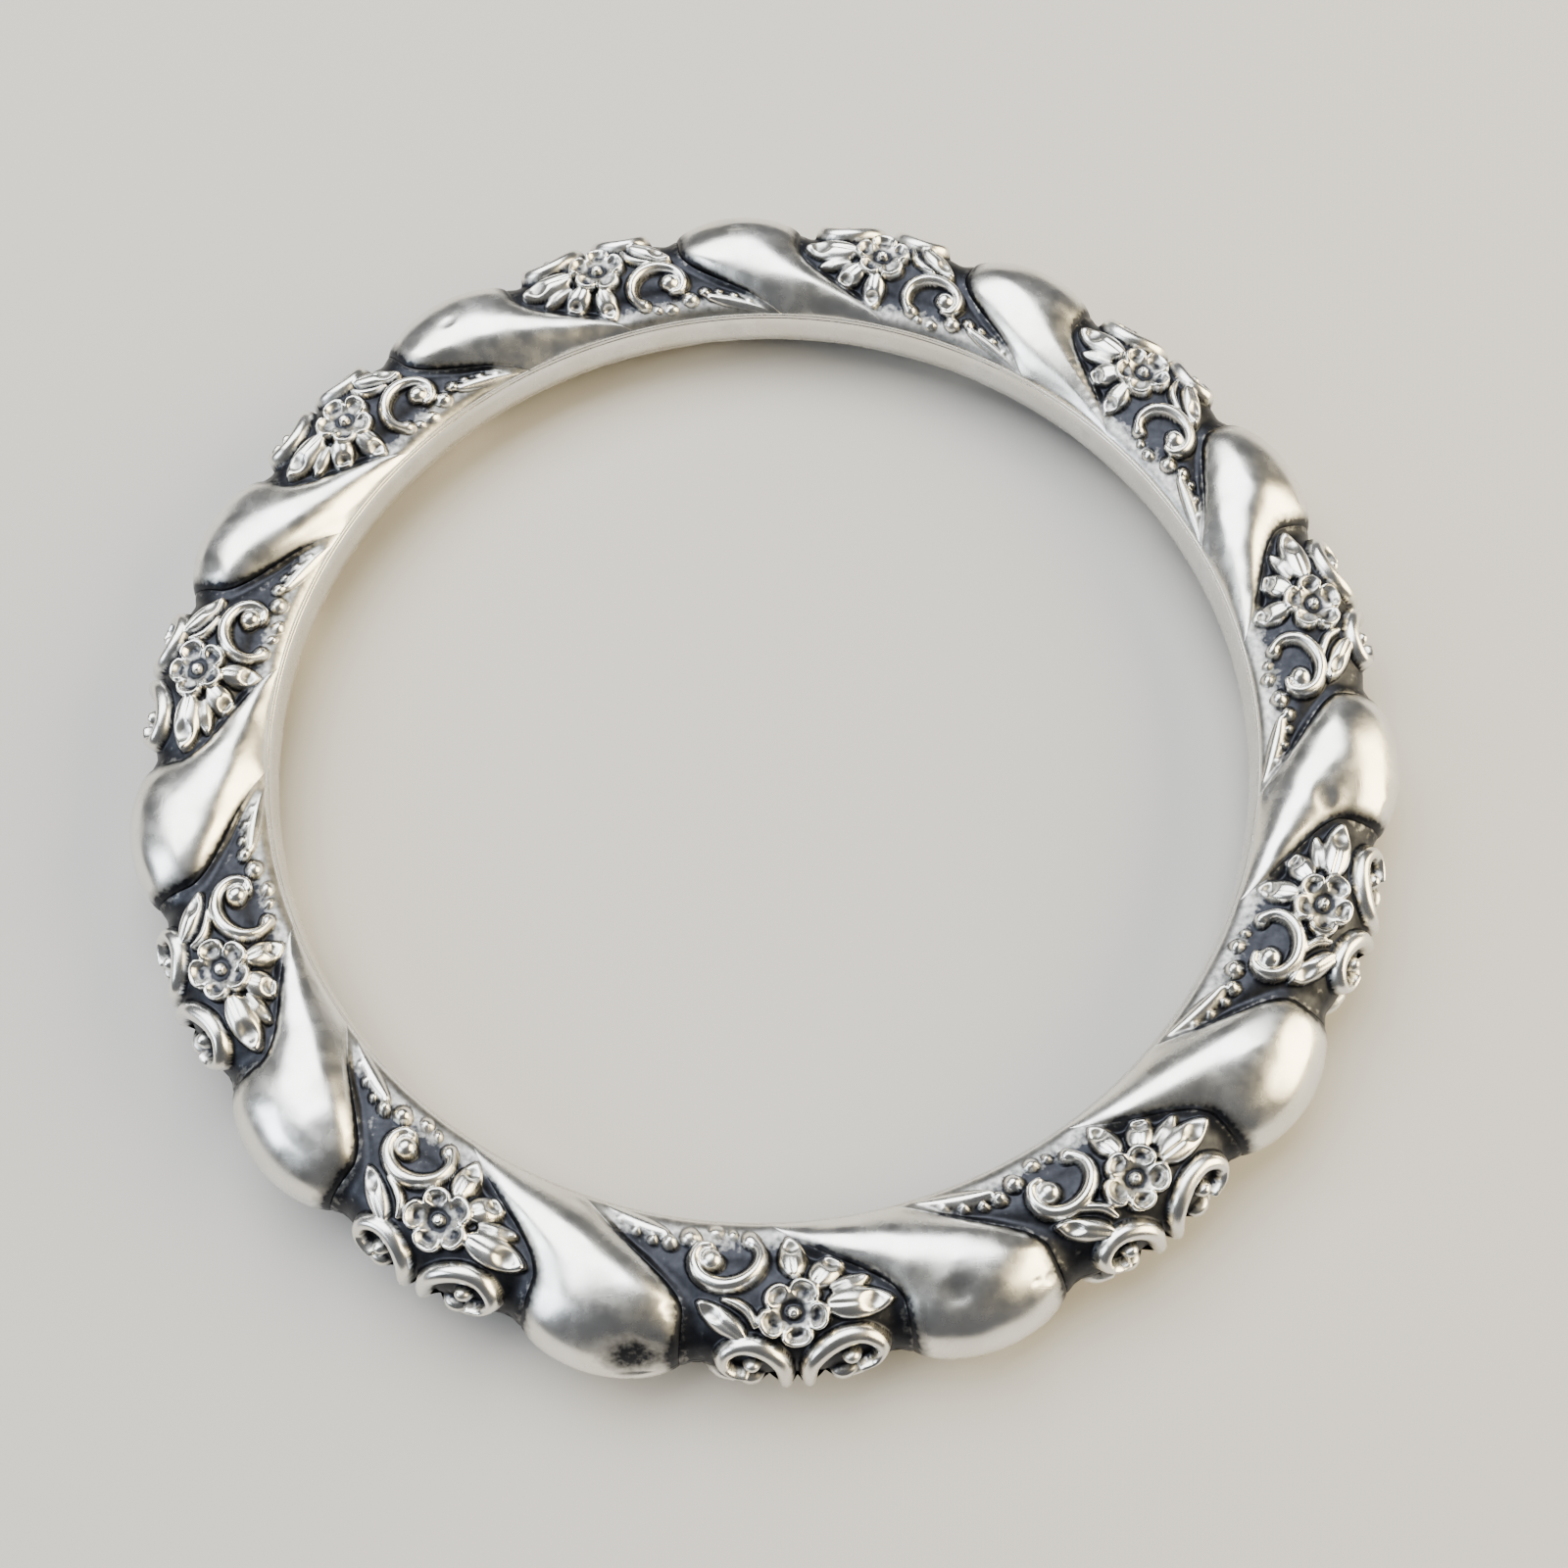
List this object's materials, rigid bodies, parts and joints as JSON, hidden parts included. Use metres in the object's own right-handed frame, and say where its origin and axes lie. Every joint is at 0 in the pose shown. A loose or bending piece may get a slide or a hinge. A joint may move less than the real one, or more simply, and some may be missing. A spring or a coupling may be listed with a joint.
{
  "type": "bangle bracelet",
  "caption": "Closed slip-on bangle, a hollow ring of struck silver sheet: flower and scroll panels alternate with plain bulging lobes, and the wrist side is a plain band.",
  "frame": {"origin": "middle of the wrist hole, on the ring's axis and half way up the tube", "axes": "+Z along the ring's axis, up when the bangle lies flat; -Y towards the person looking at it; the wide plain lobe is 123.2 degrees round from +X"},
  "size_m": [0.0833, 0.0837, 0.0076],
  "materials": {
    "struck_silver": "polished silver, blackened in the hollows of the relief, with fine scratches",
    "band_silver": "worn silver with a soft satin rub from wear",
    "silver_solder": "filed and polished silver solder"
  },
  "bodies": {
    "root": {"upper_shell": "struck_silver", "lower_shell": "struck_silver", "inner_band": "band_silver", "equator_solder": "silver_solder", "upper_rim_solder": "silver_solder", "lower_rim_solder": "silver_solder", "upper_joint_solder": "silver_solder", "lower_joint_solder": "silver_solder", "band_joint_solder": "silver_solder"}
  },
  "joints": []
}
